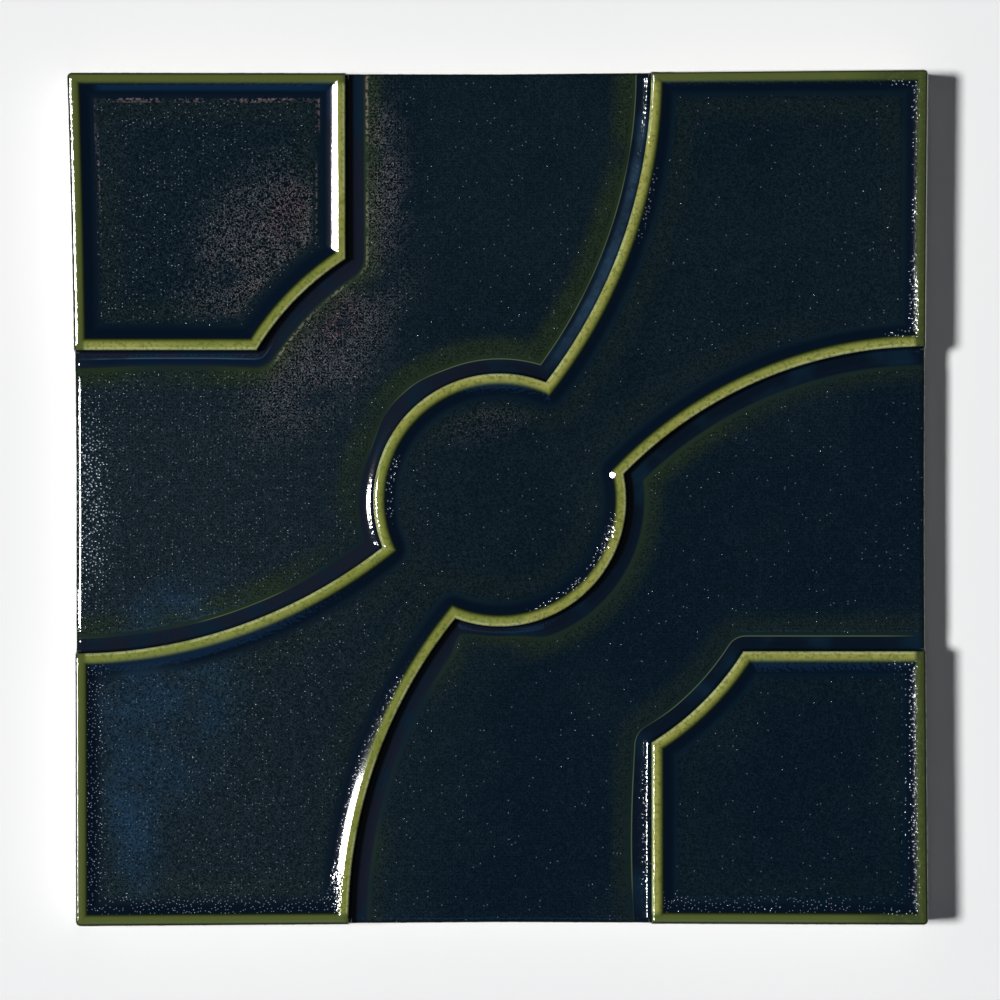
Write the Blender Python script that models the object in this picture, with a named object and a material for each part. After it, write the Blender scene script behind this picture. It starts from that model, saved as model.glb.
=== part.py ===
"""Relief wall tile: one pressed and glazed ceramic square with raised, rimmed areas.

Two corner cells and a diagonal band with a round hub stand above two sunken fields.
A narrow rim follows the outline of each raised area. The tile lies on its flat back,
face up: the back is at Z = 0 and the tile's centre is on the Z axis.
"""

import math

import bmesh
import bpy
from mathutils import Vector

MM = 0.001

# Outline and thickness
SIDE = 150.2 * MM
HALF = SIDE / 2
RIM_TOP = 11.0 * MM
HIGH_FIELD = 10.35 * MM
LOW_FIELD = 8.4 * MM
ARRIS = 0.35 * MM

# Plan of the relief, measured along the middle of the rim, with the tile's centre as origin
HALF_RIM = 0.85 * MM
LINE = HALF - HALF_RIM
HIGH_CELL = {"across": 28.13 * MM, "down": 27.02 * MM, "cut": 51.15 * MM}
LOW_CELL = {"across": 27.6 * MM, "down": 27.88 * MM, "cut": 51.6 * MM}
HUB_CENTRE = (-0.06 * MM, -0.32 * MM)
HUB_RADIUS = 21.5 * MM

# Each sweep: where it crosses the tile's edge, and its radius
TOP_SWEEP = (27.5 * MM, 90.4 * MM)
LEFT_SWEEP = (28.24 * MM, 88.9 * MM)
RIGHT_SWEEP = (27.62 * MM, 75.2 * MM)
BOTTOM_SWEEP = (27.69 * MM, 86.9 * MM)

# Sections square to the rim: distance from the rim's middle, and height above the back.
# Positive distances run into the raised area, negative ones into the sunken field.
RIM_OUTER_EDGE = (-HALF_RIM, RIM_TOP - 0.48 * MM)
RAISED_SECTION = [
    RIM_OUTER_EDGE,
    (-0.5 * MM, RIM_TOP - 0.12 * MM),
    (0.0 * MM, RIM_TOP),
    (0.65 * MM, RIM_TOP - 0.08 * MM),
    (1.5 * MM, RIM_TOP - 0.32 * MM),
    (2.4 * MM, HIGH_FIELD + 0.08 * MM),
    (3.15 * MM, HIGH_FIELD - 0.06 * MM),
    (3.9 * MM, HIGH_FIELD),
]
SUNKEN_SECTION = [
    RIM_OUTER_EDGE,
    (-1.15 * MM, LOW_FIELD + 0.6 * MM),
    (-1.6 * MM, LOW_FIELD - 0.1 * MM),
    (-2.6 * MM, LOW_FIELD - 0.44 * MM),
    (-3.7 * MM, LOW_FIELD - 0.4 * MM),
    (-4.6 * MM, LOW_FIELD),
]

# The fired outline: each corner's drift from the true square, towards +X and +Y
CORNER_DRIFT = {
    (-1, 1): (-1.45 * MM, 0.1 * MM),
    (1, 1): (0.5 * MM, 0.7 * MM),
    (1, -1): (0.5 * MM, -0.3 * MM),
    (-1, -1): (0.1 * MM, -0.55 * MM),
}
DRIFT_INWARDS = 2.5
DRIFT_ALONG = (1.7, 1.0)
CORNER_EASE = 0.7 * MM
CORNER_PULL = 0.25 * MM

# Number of steps along each kind of line
EDGE_STEPS = 8
CELL_SIDE_STEPS = 6
CELL_CUT_STEPS = 8
SWEEP_STEPS = 14
HUB_STEPS = 16
FIELD_EDGE_STEPS = 8

GLAZE_COLOUR = (0.012, 0.03, 0.035, 1.0)
GLAZE_ROUGHNESS = 0.12
MERGE_DISTANCE = 0.001 * MM


def straight(start, end, steps):
    """A straight run of the rim's middle line, with the raised area on its left."""
    return {"start": Vector(start), "end": Vector(end), "steps": steps}


def bend(centre, radius, turn, start, end, steps):
    """A round run: turn is 1 anticlockwise and -1 clockwise, seen from above."""
    run = straight(start, end, steps)
    run.update(centre=Vector(centre), radius=radius, turn=turn)
    return run


def shifted(run, distance):
    """The same run, moved square to itself by a distance towards its left."""
    moved = dict(run)
    if "radius" in run:
        moved["radius"] = run["radius"] - run["turn"] * distance
        return moved
    along = (run["end"] - run["start"]).normalized()
    left = Vector((-along.y, along.x))
    moved["start"] = run["start"] + left * distance
    moved["end"] = run["end"] + left * distance
    return moved


def circle_line_points(circle, line):
    """The two points where a circle meets a straight line."""
    along = (line["end"] - line["start"]).normalized()
    foot = line["start"] + along * (circle["centre"] - line["start"]).dot(along)
    reach = math.sqrt(circle["radius"] ** 2 - (foot - circle["centre"]).length_squared)
    return [foot + along * reach, foot - along * reach]


def circle_circle_points(one, other):
    """The two points where two circles meet."""
    gap = other["centre"] - one["centre"]
    span = gap.length
    inward = (one["radius"] ** 2 - other["radius"] ** 2 + span**2) / (2 * span)
    reach = math.sqrt(one["radius"] ** 2 - inward**2)
    along = gap / span
    across = Vector((-along.y, along.x))
    foot = one["centre"] + along * inward
    return [foot + across * reach, foot - across * reach]


def line_line_points(one, other):
    """The point where two straight lines meet."""
    a = one["end"] - one["start"]
    b = other["end"] - other["start"]
    between = other["start"] - one["start"]
    return [one["start"] + a * (between.cross(b) / a.cross(b))]


def meeting_point(one, other, near):
    """Where two runs meet, when carried on past their ends: the point closest to near."""
    if "radius" in one and "radius" in other:
        points = circle_circle_points(one, other)
    elif "radius" in one:
        points = circle_line_points(one, other)
    elif "radius" in other:
        points = circle_line_points(other, one)
    else:
        points = line_line_points(one, other)
    return min(points, key=lambda point: (point - near).length)


def points_between(run, start, end, shares):
    """Points along a run from start to end, at the given shares of the way."""
    if "radius" not in run:
        return [start.lerp(end, share) for share in shares]
    centre = run["centre"]
    first = math.atan2(start.y - centre.y, start.x - centre.x)
    last = math.atan2(end.y - centre.y, end.x - centre.x)
    sweep = (last - first) * run["turn"] % math.tau * run["turn"]
    return [
        centre + Vector((math.cos(first + sweep * share), math.sin(first + sweep * share)))
        * run["radius"]
        for share in shares
    ]


def shares_of(run):
    """Even shares of the way, with one short step at an end that has one."""
    length = (run["end"] - run["start"]).length
    shares = [step / run["steps"] for step in range(run["steps"])]
    if "first_step" in run:
        shares.insert(1, run["first_step"] / length)
    if "last_step" in run:
        shares.append(1 - run["last_step"] / length)
    return shares


def edge_line(axis, place):
    """A line square to the X or the Y axis, at a place along it."""
    if axis == "x":
        return straight((place, 0), (place, HALF), 1)
    return straight((0, place), (HALF, place), 1)


def closed_loop(runs, distance):
    """The points of a raised area's outline, moved inwards by a distance."""
    moved = [shifted(run, distance) for run in runs]
    points = []
    for index, run in enumerate(moved):
        before = moved[index - 1]
        after = moved[(index + 1) % len(moved)]
        start = meeting_point(before, run, runs[index]["start"])
        end = meeting_point(run, after, runs[index]["end"])
        points += points_between(run, start, end, shares_of(runs[index]))
    return points


def open_chain(runs, distance, first_edge, last_edge):
    """The points of a raised area's inner sides, moved by a distance, from tile edge to tile edge."""
    moved = [shifted(run, distance) for run in runs]
    corners = [meeting_point(moved[0], first_edge, runs[0]["start"])]
    for index in range(1, len(runs)):
        corners.append(meeting_point(moved[index - 1], moved[index], runs[index]["start"]))
    corners.append(meeting_point(moved[-1], last_edge, runs[-1]["end"]))
    points = []
    for index, run in enumerate(moved):
        points += points_between(run, corners[index], corners[index + 1], shares_of(runs[index]))
    points.append(corners[-1])
    return points


def quarter_turned(point, turns):
    """A point turned about the tile's centre by quarter turns."""
    x, y = point
    for _ in range(turns):
        x, y = -y, x
    return (x, y)


def cell_inner_sides(cell, turns):
    """The two straight sides and the cut corner of a corner cell, from edge to edge."""
    across, down, cut = cell["across"], cell["down"], cell["cut"]
    corners = [(-LINE, down), (-math.sqrt(cut**2 - down**2), down)]
    corners += [(-across, math.sqrt(cut**2 - across**2)), (-across, LINE)]
    a, b, c, d = [quarter_turned(corner, turns) for corner in corners]
    low_side = dict(straight(a, b, CELL_SIDE_STEPS), first_step=ARRIS)
    high_side = dict(straight(c, d, CELL_SIDE_STEPS), last_step=ARRIS)
    return [low_side, bend((0, 0), cut, -1, b, c, CELL_CUT_STEPS), high_side]


def band_side(first_sweep, last_sweep, turns):
    """One side of the diagonal band: a sweep, the bulge of the hub and a second sweep."""
    hub = {"centre": Vector(HUB_CENTRE), "radius": HUB_RADIUS}
    crossing, radius = first_sweep
    first = {"centre": Vector(quarter_turned((crossing - radius, HALF), turns)), "radius": radius}
    first_side = Vector(quarter_turned((crossing, LINE), turns))
    crossing, radius = last_sweep
    last = {"centre": Vector(quarter_turned((-HALF, radius - crossing), turns)), "radius": radius}
    last_side = Vector(quarter_turned((-LINE, -crossing), turns))
    start = meeting_point(first, edge_line("y", first_side.y), first_side)
    end = meeting_point(last, edge_line("x", last_side.x), last_side)
    cusps = [meeting_point(first, hub, first_side), meeting_point(last, hub, last_side)]
    sweep_in = bend(first["centre"], first["radius"], -1, start, cusps[0], SWEEP_STEPS)
    sweep_out = bend(last["centre"], last["radius"], -1, cusps[1], end, SWEEP_STEPS)
    bulge = bend(HUB_CENTRE, HUB_RADIUS, 1, *cusps, HUB_STEPS)
    return [dict(sweep_in, first_step=ARRIS), bulge, dict(sweep_out, last_step=ARRIS)]


def round_corner(before, corner, after):
    """The two runs along the tile's edges, round one corner of the tile."""
    to_corner = straight(before[-1]["end"], corner, EDGE_STEPS)
    from_corner = straight(corner, after[0]["start"], EDGE_STEPS)
    return [dict(to_corner, last_step=CORNER_EASE), dict(from_corner, first_step=CORNER_EASE)]


def drifted(point, height):
    """A point of the true square, moved to its place on the fired tile."""
    u = point.x / HALF
    v = point.y / HALF
    x, y = point
    for (side_x, side_y), (drift_x, drift_y) in CORNER_DRIFT.items():
        beside_x = max(0.0, side_x * u)
        beside_y = max(0.0, side_y * v)
        x += drift_x * beside_x**DRIFT_INWARDS * beside_y ** DRIFT_ALONG[0]
        y += drift_y * beside_y**DRIFT_INWARDS * beside_x ** DRIFT_ALONG[1]
    near_x = max(0.0, abs(point.x) - (HALF - CORNER_EASE)) / CORNER_EASE
    near_y = max(0.0, abs(point.y) - (HALF - CORNER_EASE)) / CORNER_EASE
    pull = CORNER_PULL * near_x * near_y
    return Vector((x - math.copysign(pull, x), y - math.copysign(pull, y), height))


def add_row(mesh, points, heights):
    """One row of vertices."""
    return [mesh.verts.new(drifted(point, height)) for point, height in zip(points, heights)]


def add_strip(mesh, one, other, closed):
    """Quads between two rows of the same length."""
    count = len(one)
    for index in range(count if closed else count - 1):
        after = (index + 1) % count
        mesh.faces.new((one[index], one[after], other[after], other[index]))


def add_raised_area(mesh, runs):
    """The rim, the hollow inside it and the flat field of one raised area."""
    rows = []
    for distance, height in RAISED_SECTION:
        points = closed_loop(runs, distance)
        rows.append(add_row(mesh, points, [height] * len(points)))
    for one, other in zip(rows, rows[1:]):
        add_strip(mesh, one, other, True)
    mesh.faces.new(rows[-1])


def add_wall(mesh, runs, first_edge, last_edge):
    """The step from a rim down to the sunken field, and the channel at its foot."""
    rows = []
    for distance, height in SUNKEN_SECTION:
        points = open_chain(runs, distance, first_edge, last_edge)
        drop = 0.0 if distance == -HALF_RIM else ARRIS
        heights = [height - drop] + [height] * (len(points) - 2) + [height - drop]
        rows.append(add_row(mesh, points, heights))
    for one, other in zip(rows, rows[1:]):
        add_strip(mesh, one, other, False)
    return points, rows[-1]


def add_field_edge(mesh, from_points, from_row, to_points, to_row):
    """The eased edge of a sunken field along the tile's side. Returns its inner vertices."""
    shares = [step / FIELD_EDGE_STEPS for step in range(1, FIELD_EDGE_STEPS)]
    outer = [from_points[-1].lerp(to_points[0], share) for share in shares]
    inner = [from_points[-2].lerp(to_points[1], share) for share in shares]
    outer_row = add_row(mesh, outer, [LOW_FIELD - ARRIS] * len(outer))
    inner_row = add_row(mesh, inner, [LOW_FIELD] * len(inner))
    add_strip(
        mesh,
        [from_row[-1], *outer_row, to_row[0]],
        [from_row[-2], *inner_row, to_row[1]],
        False,
    )
    return inner_row


def add_sunken_field(mesh, cell_side, band, cell_edges, band_edges):
    """The sunken field between a corner cell and the band, with its channels and edges."""
    cell_points, cell_row = add_wall(mesh, cell_side, *cell_edges)
    band_points, band_row = add_wall(mesh, band, *band_edges)
    near_edge = add_field_edge(mesh, cell_points, cell_row, band_points, band_row)
    far_edge = add_field_edge(mesh, band_points, band_row, cell_points, cell_row)
    mesh.faces.new([*cell_row[1:-1], *near_edge, *band_row[1:-1], *far_edge])


def add_sides_and_back(mesh):
    """The four plain sides, drawn down from the face's edge, and the flat back."""
    rim = [edge for edge in mesh.edges if edge.is_boundary]
    drawn = bmesh.ops.extrude_edge_only(mesh, edges=rim)["geom"]
    for vertex in drawn:
        if isinstance(vertex, bmesh.types.BMVert):
            vertex.co.z = 0.0
    back_edges = [edge for edge in drawn if isinstance(edge, bmesh.types.BMEdge)]
    back_edges = [edge for edge in back_edges if edge.is_boundary]
    bmesh.ops.contextual_create(mesh, geom=back_edges)


def add_face(mesh):
    """The whole face of the tile: two cells, the band and the two sunken fields."""
    left, right = edge_line("x", -HALF), edge_line("x", HALF)
    top, bottom = edge_line("y", HALF), edge_line("y", -HALF)
    high_cell = cell_inner_sides(HIGH_CELL, 0)
    low_cell = cell_inner_sides(LOW_CELL, 2)
    high_band = band_side(TOP_SWEEP, LEFT_SWEEP, 0)
    low_band = band_side(BOTTOM_SWEEP, RIGHT_SWEEP, 2)
    add_raised_area(mesh, high_cell + round_corner(high_cell, (-LINE, LINE), high_cell))
    add_raised_area(mesh, low_cell + round_corner(low_cell, (LINE, -LINE), low_cell))
    lower_left = round_corner(high_band, (-LINE, -LINE), low_band)
    upper_right = round_corner(low_band, (LINE, LINE), high_band)
    add_raised_area(mesh, high_band + lower_left + low_band + upper_right)
    add_sunken_field(mesh, high_cell, high_band, (left, top), (top, left))
    add_sunken_field(mesh, low_cell, low_band, (right, bottom), (bottom, right))


def centred(mesh):
    """Moves the tile so that the middle of its outline is on the Z axis."""
    xs = [vertex.co.x for vertex in mesh.verts]
    ys = [vertex.co.y for vertex in mesh.verts]
    middle = Vector(((min(xs) + max(xs)) / 2, (min(ys) + max(ys)) / 2, 0.0))
    bmesh.ops.translate(mesh, verts=mesh.verts, vec=-middle)


def glaze_material():
    """Dark teal gloss glaze."""
    material = bpy.data.materials.new("dark_teal_glaze")
    material.use_nodes = True
    shader = material.node_tree.nodes["Principled BSDF"]
    shader.inputs["Base Color"].default_value = GLAZE_COLOUR
    shader.inputs["Roughness"].default_value = GLAZE_ROUGHNESS
    shader.inputs["Metallic"].default_value = 0.0
    return material


def make_tile():
    """The fired tile, as one closed body."""
    mesh = bmesh.new()
    add_face(mesh)
    bmesh.ops.remove_doubles(mesh, verts=mesh.verts, dist=MERGE_DISTANCE)
    add_sides_and_back(mesh)
    centred(mesh)
    bmesh.ops.recalc_face_normals(mesh, faces=mesh.faces)
    data = bpy.data.meshes.new("tile_body")
    mesh.to_mesh(data)
    mesh.free()
    data.shade_smooth()
    data.set_sharp_from_angle(angle=math.radians(35))
    data.materials.append(glaze_material())
    tile = bpy.data.objects.new("tile_body", data)
    bpy.context.scene.collection.objects.link(tile)
    return tile


for leftover in list(bpy.data.objects):
    bpy.data.objects.remove(leftover)
make_tile()
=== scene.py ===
# %% [markdown]
# # A relief wall tile under dark glaze
#
# The real tile is one piece of pressed clay. A thin lime rim runs round each raised area,
# and a dark teal glaze lies in the hollows beside it. This lesson builds the face from one
# rule: the height and the colour of every point follow from how far it is from the rim.
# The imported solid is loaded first, because the finished tile has to stay inside it.

import math

import bmesh
import bpy
import numpy as np
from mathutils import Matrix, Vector
from mathutils.geometry import area_tri, delaunay_2d_cdt


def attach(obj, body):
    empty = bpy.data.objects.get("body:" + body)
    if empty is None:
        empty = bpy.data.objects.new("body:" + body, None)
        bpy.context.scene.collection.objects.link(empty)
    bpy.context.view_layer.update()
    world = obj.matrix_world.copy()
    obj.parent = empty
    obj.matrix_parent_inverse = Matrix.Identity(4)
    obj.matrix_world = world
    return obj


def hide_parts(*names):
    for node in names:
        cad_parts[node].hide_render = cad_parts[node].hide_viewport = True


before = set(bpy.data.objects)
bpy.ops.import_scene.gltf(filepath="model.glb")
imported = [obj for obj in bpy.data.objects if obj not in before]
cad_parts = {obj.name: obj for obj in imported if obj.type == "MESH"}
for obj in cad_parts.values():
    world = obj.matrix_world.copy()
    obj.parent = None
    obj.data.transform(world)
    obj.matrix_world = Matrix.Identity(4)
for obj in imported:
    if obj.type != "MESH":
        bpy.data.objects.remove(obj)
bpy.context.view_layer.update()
MM = 0.001

# %% [markdown]
# ## The lines of the relief
#
# Two corner cells and a diagonal band with a round hub stand above two sunken fields.
# Their outlines are straight lines and arcs. They could be drawn by hand as curves, but
# then the rim's two sides would not stay parallel. Here each line is a run with a start,
# an end and, if it is round, a centre, so it can be moved square to itself by any distance.

# %% The sizes of the plan, along the middle of the rim
SIDE = 150.2 * MM
HALF = SIDE / 2
HALF_RIM = 0.85 * MM
LINE = HALF - HALF_RIM
HIGH_CELL = {"across": 28.13 * MM, "down": 27.02 * MM, "cut": 51.15 * MM}
LOW_CELL = {"across": 27.6 * MM, "down": 27.88 * MM, "cut": 51.6 * MM}
HUB_CENTRE = (-0.06 * MM, -0.32 * MM)
HUB_RADIUS = 21.5 * MM
TOP_SWEEP = (27.5 * MM, 90.4 * MM)
LEFT_SWEEP = (28.24 * MM, 88.9 * MM)
RIGHT_SWEEP = (27.62 * MM, 75.2 * MM)
BOTTOM_SWEEP = (27.69 * MM, 86.9 * MM)
CORNER_DRIFT = {
    (-1, 1): (-1.45 * MM, 0.1 * MM),
    (1, 1): (0.5 * MM, 0.7 * MM),
    (1, -1): (0.5 * MM, -0.3 * MM),
    (-1, -1): (0.1 * MM, -0.55 * MM),
}
DRIFT_INWARDS = 2.5
DRIFT_ALONG = (1.7, 1.0)
CORNER_EASE = 0.7 * MM
CORNER_PULL = 0.25 * MM
STEP = 0.62 * MM
EDGE_ROWS = [row * MM for row in (0.07, 0.16, 0.28, 0.42, 0.6, 0.8, 1.0, 1.2, 1.45, 1.75)]
CLEAR_OF_ROWS = 1.3
print("square and rim line, mm:", SIDE / MM, round(LINE / MM, 2))


# %% Runs: straight lines and arcs that can be moved square to themselves
def straight(start, end):
    """A straight run, with the raised area on its left."""
    return {"start": Vector(start), "end": Vector(end)}


def bend(centre, radius, turn, start, end):
    """A round run: turn is 1 anticlockwise and -1 clockwise, seen from above."""
    run = straight(start, end)
    run.update(centre=Vector(centre), radius=radius, turn=turn)
    return run


def shifted(run, distance):
    """The same run, moved towards its left by a distance."""
    moved = dict(run)
    if "radius" in run:
        moved["radius"] = run["radius"] - run["turn"] * distance
        return moved
    along = (run["end"] - run["start"]).normalized()
    left = Vector((-along.y, along.x))
    moved["start"] = run["start"] + left * distance
    moved["end"] = run["end"] + left * distance
    return moved


def meeting_point(one, other, near):
    """Where two runs meet, when carried on past their ends: the point closest to near."""
    if "radius" not in one and "radius" not in other:
        a = one["end"] - one["start"]
        b = other["end"] - other["start"]
        between = other["start"] - one["start"]
        return one["start"] + a * (between.cross(b) / a.cross(b))
    if "radius" in one and "radius" in other:
        gap = other["centre"] - one["centre"]
        along = gap.normalized()
        squares = one["radius"] ** 2 - other["radius"] ** 2 + gap.length_squared
        inward = squares / (2 * gap.length)
        reach = math.sqrt(one["radius"] ** 2 - inward**2)
        foot = one["centre"] + along * inward
        along = Vector((-along.y, along.x))
    else:
        circle, line = (one, other) if "radius" in one else (other, one)
        along = (line["end"] - line["start"]).normalized()
        foot = line["start"] + along * (circle["centre"] - line["start"]).dot(along)
        reach = math.sqrt(circle["radius"] ** 2 - (foot - circle["centre"]).length_squared)
    return min((foot + along * reach, foot - along * reach), key=lambda p: (p - near).length)


def points_between(run, start, end, shares):
    """Points along a run from start to end, at the given shares of the way."""
    if "radius" not in run:
        return [start.lerp(end, share) for share in shares]
    centre = run["centre"]
    first = math.atan2(start.y - centre.y, start.x - centre.x)
    last = math.atan2(end.y - centre.y, end.x - centre.x)
    sweep = (last - first) * run["turn"] % math.tau * run["turn"]
    angles = [first + sweep * share for share in shares]
    return [centre + Vector((math.cos(a), math.sin(a))) * run["radius"] for a in angles]


def shares_of(run):
    """Even shares of the way, with a few short steps where the run meets the tile's edge."""
    length = (run["end"] - run["start"]).length
    count = max(4, round(length / STEP))
    shares = [step / count for step in range(count)]
    rows = [row / length for row in EDGE_ROWS]
    if run.get("from_edge"):
        shares = [0.0, *rows, *(s for s in shares if s > rows[-1] * CLEAR_OF_ROWS)]
    if run.get("to_edge"):
        shares = [s for s in shares if s < 1 - rows[-1] * CLEAR_OF_ROWS]
        shares += [1 - row for row in reversed(rows)]
    return shares


print("steps along a tile side:", len(shares_of(straight((0, 0), (SIDE, 0)))))


# %% Rows of points beside the rim, at any distance from it
def edge_line(axis, place):
    """A line square to the X or the Y axis, at a place along it."""
    if axis == "x":
        return straight((place, 0), (place, HALF))
    return straight((0, place), (HALF, place))


def closed_loop(runs, distance):
    """The outline of a raised area, moved inwards by a distance."""
    moved = [shifted(run, distance) for run in runs]
    points = []
    for index, run in enumerate(moved):
        start = meeting_point(moved[index - 1], run, runs[index]["start"])
        end = meeting_point(run, moved[(index + 1) % len(moved)], runs[index]["end"])
        points += points_between(run, start, end, shares_of(runs[index]))
    return points


def open_chain(runs, distance, first_edge, last_edge):
    """The inner sides of a raised area, moved by a distance, from tile edge to tile edge."""
    moved = [shifted(run, distance) for run in runs]
    corners = [meeting_point(moved[0], first_edge, runs[0]["start"])]
    for index in range(1, len(runs)):
        corners.append(meeting_point(moved[index - 1], moved[index], runs[index]["start"]))
    corners.append(meeting_point(moved[-1], last_edge, runs[-1]["end"]))
    points = []
    for index, run in enumerate(moved):
        points += points_between(run, corners[index], corners[index + 1], shares_of(runs[index]))
    return [*points, corners[-1]]


def quarter_turned(point, turns):
    """A point turned about the tile's centre by quarter turns."""
    x, y = point
    for _ in range(turns):
        x, y = -y, x
    return (x, y)


def cell_inner_sides(cell, turns):
    """The two straight sides and the cut corner of a corner cell, from edge to edge."""
    across, down, cut = cell["across"], cell["down"], cell["cut"]
    corners = [(-LINE, down), (-math.sqrt(cut**2 - down**2), down)]
    corners += [(-across, math.sqrt(cut**2 - across**2)), (-across, LINE)]
    a, b, c, d = [quarter_turned(corner, turns) for corner in corners]
    low_side = dict(straight(a, b), from_edge=True)
    high_side = dict(straight(c, d), to_edge=True)
    return [low_side, bend((0, 0), cut, -1, b, c), high_side]


def band_side(first_sweep, last_sweep, turns):
    """One side of the diagonal band: a sweep, the bulge of the hub and a second sweep."""
    hub = {"centre": Vector(HUB_CENTRE), "radius": HUB_RADIUS}
    crossing, radius = first_sweep
    first = {"centre": Vector(quarter_turned((crossing - radius, HALF), turns)), "radius": radius}
    first_side = Vector(quarter_turned((crossing, LINE), turns))
    crossing, radius = last_sweep
    last = {"centre": Vector(quarter_turned((-HALF, radius - crossing), turns)), "radius": radius}
    last_side = Vector(quarter_turned((-LINE, -crossing), turns))
    start = meeting_point(first, edge_line("y", first_side.y), first_side)
    end = meeting_point(last, edge_line("x", last_side.x), last_side)
    cusps = [meeting_point(first, hub, first_side), meeting_point(last, hub, last_side)]
    sweep_in = bend(first["centre"], first["radius"], -1, start, cusps[0])
    sweep_out = bend(last["centre"], last["radius"], -1, cusps[1], end)
    bulge = bend(HUB_CENTRE, HUB_RADIUS, 1, *cusps)
    return [dict(sweep_in, from_edge=True), bulge, dict(sweep_out, to_edge=True)]


def round_corner(before, corner, after):
    """The two straight runs along the tile's edges, round one corner of the tile."""
    return [straight(before[-1]["end"], corner), straight(corner, after[0]["start"])]


high_cell, low_cell = cell_inner_sides(HIGH_CELL, 0), cell_inner_sides(LOW_CELL, 2)
high_band = band_side(TOP_SWEEP, LEFT_SWEEP, 0)
low_band = band_side(BOTTOM_SWEEP, RIGHT_SWEEP, 2)
raised_areas = [
    high_cell + round_corner(high_cell, (-LINE, LINE), high_cell),
    low_cell + round_corner(low_cell, (LINE, -LINE), low_cell),
    high_band
    + round_corner(high_band, (-LINE, -LINE), low_band)
    + low_band
    + round_corner(low_band, (LINE, LINE), high_band),
]
rim_length = sum((run["end"] - run["start"]).length for runs in raised_areas for run in runs)
print("rim length, mm:", round(rim_length / MM))

# %% [markdown]
# ## A flat mesh that knows where the rim is
#
# The face could be sculpted, or cut from a grid, but a grid gives jagged rims. Instead rows
# of points run beside the rim, close together where the clay bends and further apart where
# it is flat, and triangles fill the fields. Nothing is raised yet. Each point only carries
# two numbers: how far it is from the middle of the rim, and how far from the tile's edge.

# %% Rows beside the rim, in metres from its middle: positive is the raised side
RAISED_ROWS = [
    -0.85, -0.79, -0.7, -0.58, -0.42, -0.24, -0.05, 0.15, 0.34, 0.52, 0.7, 0.87, 1.05, 1.3,
    1.6, 1.9, 2.2, 2.45, 2.7, 3.0, 3.3, 3.55, 3.75, 3.92, 4.1, 4.5,
]
SUNKEN_ROWS = [
    -0.85, -0.89, -0.95, -1.03, -1.13, -1.27, -1.45, -1.65, -1.85, -2.1, -2.35, -2.65, -3.0,
    -3.4, -3.75, -4.0, -4.15, -4.28, -4.4, -4.55, -4.9,
]
FIELD_STEP = 1.25 * MM
FAR_FROM_RIM = 8.0 * MM
MERGE_DISTANCE = 0.001 * MM
print("rows on the raised and the sunken side:", len(RAISED_ROWS), len(SUNKEN_ROWS))


def fired_place(x, y):
    """A point of the true square, moved to its place on the fired tile."""
    u, v = x / HALF, y / HALF
    new_x, new_y = x, y
    for (side_x, side_y), (drift_x, drift_y) in CORNER_DRIFT.items():
        beside_x = max(0.0, side_x * u)
        beside_y = max(0.0, side_y * v)
        new_x += drift_x * beside_x**DRIFT_INWARDS * beside_y ** DRIFT_ALONG[0]
        new_y += drift_y * beside_y**DRIFT_INWARDS * beside_x ** DRIFT_ALONG[1]
    near_x = max(0.0, abs(x) - (HALF - CORNER_EASE)) / CORNER_EASE
    near_y = max(0.0, abs(y) - (HALF - CORNER_EASE)) / CORNER_EASE
    pull = CORNER_PULL * near_x * near_y
    return new_x - math.copysign(pull, new_x), new_y - math.copysign(pull, new_y)


flat = bmesh.new()
rim_layer = flat.verts.layers.float.new("rim_distance")
edge_layer = flat.verts.layers.float.new("edge_distance")
face_layer = flat.verts.layers.float.new("on_face")
narrow_layer = flat.verts.layers.float.new("narrow_groove")


def add_row(points, distance, narrow=0.0):
    """One row of flat vertices, still on the true square, that know their two distances."""
    row = []
    for point in points:
        vertex = flat.verts.new((point.x, point.y, 0.0))
        vertex[rim_layer] = distance
        vertex[edge_layer] = HALF - max(abs(point.x), abs(point.y))
        vertex[face_layer] = 1.0
        vertex[narrow_layer] = narrow
        row.append(vertex)
    return row


def add_strip(one, other, closed):
    """Quads between two rows of the same length."""
    count = len(one)
    for index in range(count if closed else count - 1):
        after = (index + 1) % count
        flat.faces.new((one[index], one[after], other[after], other[index]))


# %% Filling a field with even triangles: least area in square millimetres, and the grid
SLIVER_AREA = 0.003
ROW_STEP = 0.87
GRID_MARGIN = 0.6
print("grid in the fields, mm:", FIELD_STEP / MM, "and", FIELD_STEP * ROW_STEP / MM)


def inside(points, outline):
    """Which points lie inside an outline, as a list of True and False."""
    corners = np.array(outline)
    following = np.roll(corners, -1, axis=0)
    edge = following - corners
    answers = []
    for x, y in points:
        crosses = (corners[:, 1] > y) != (following[:, 1] > y)
        slope = edge[:, 0] / np.where(crosses, edge[:, 1], 1.0)
        where = corners[:, 0] + (y - corners[:, 1]) * slope
        answers.append(bool((crosses & (where > x)).sum() % 2))
    return answers


def clear_of(points, outline, margin):
    """The points that are further than a margin from every edge of an outline."""
    corners = np.array(outline)
    edge = np.roll(corners, -1, axis=0) - corners
    square = (edge**2).sum(1)
    kept = []
    for point in points:
        offset = np.array(point) - corners
        share = np.clip((offset * edge).sum(1) / square, 0, 1)
        gaps = offset - edge * share[:, None]
        if (gaps**2).sum(1).min() > margin**2:
            kept.append(point)
    return kept


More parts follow.
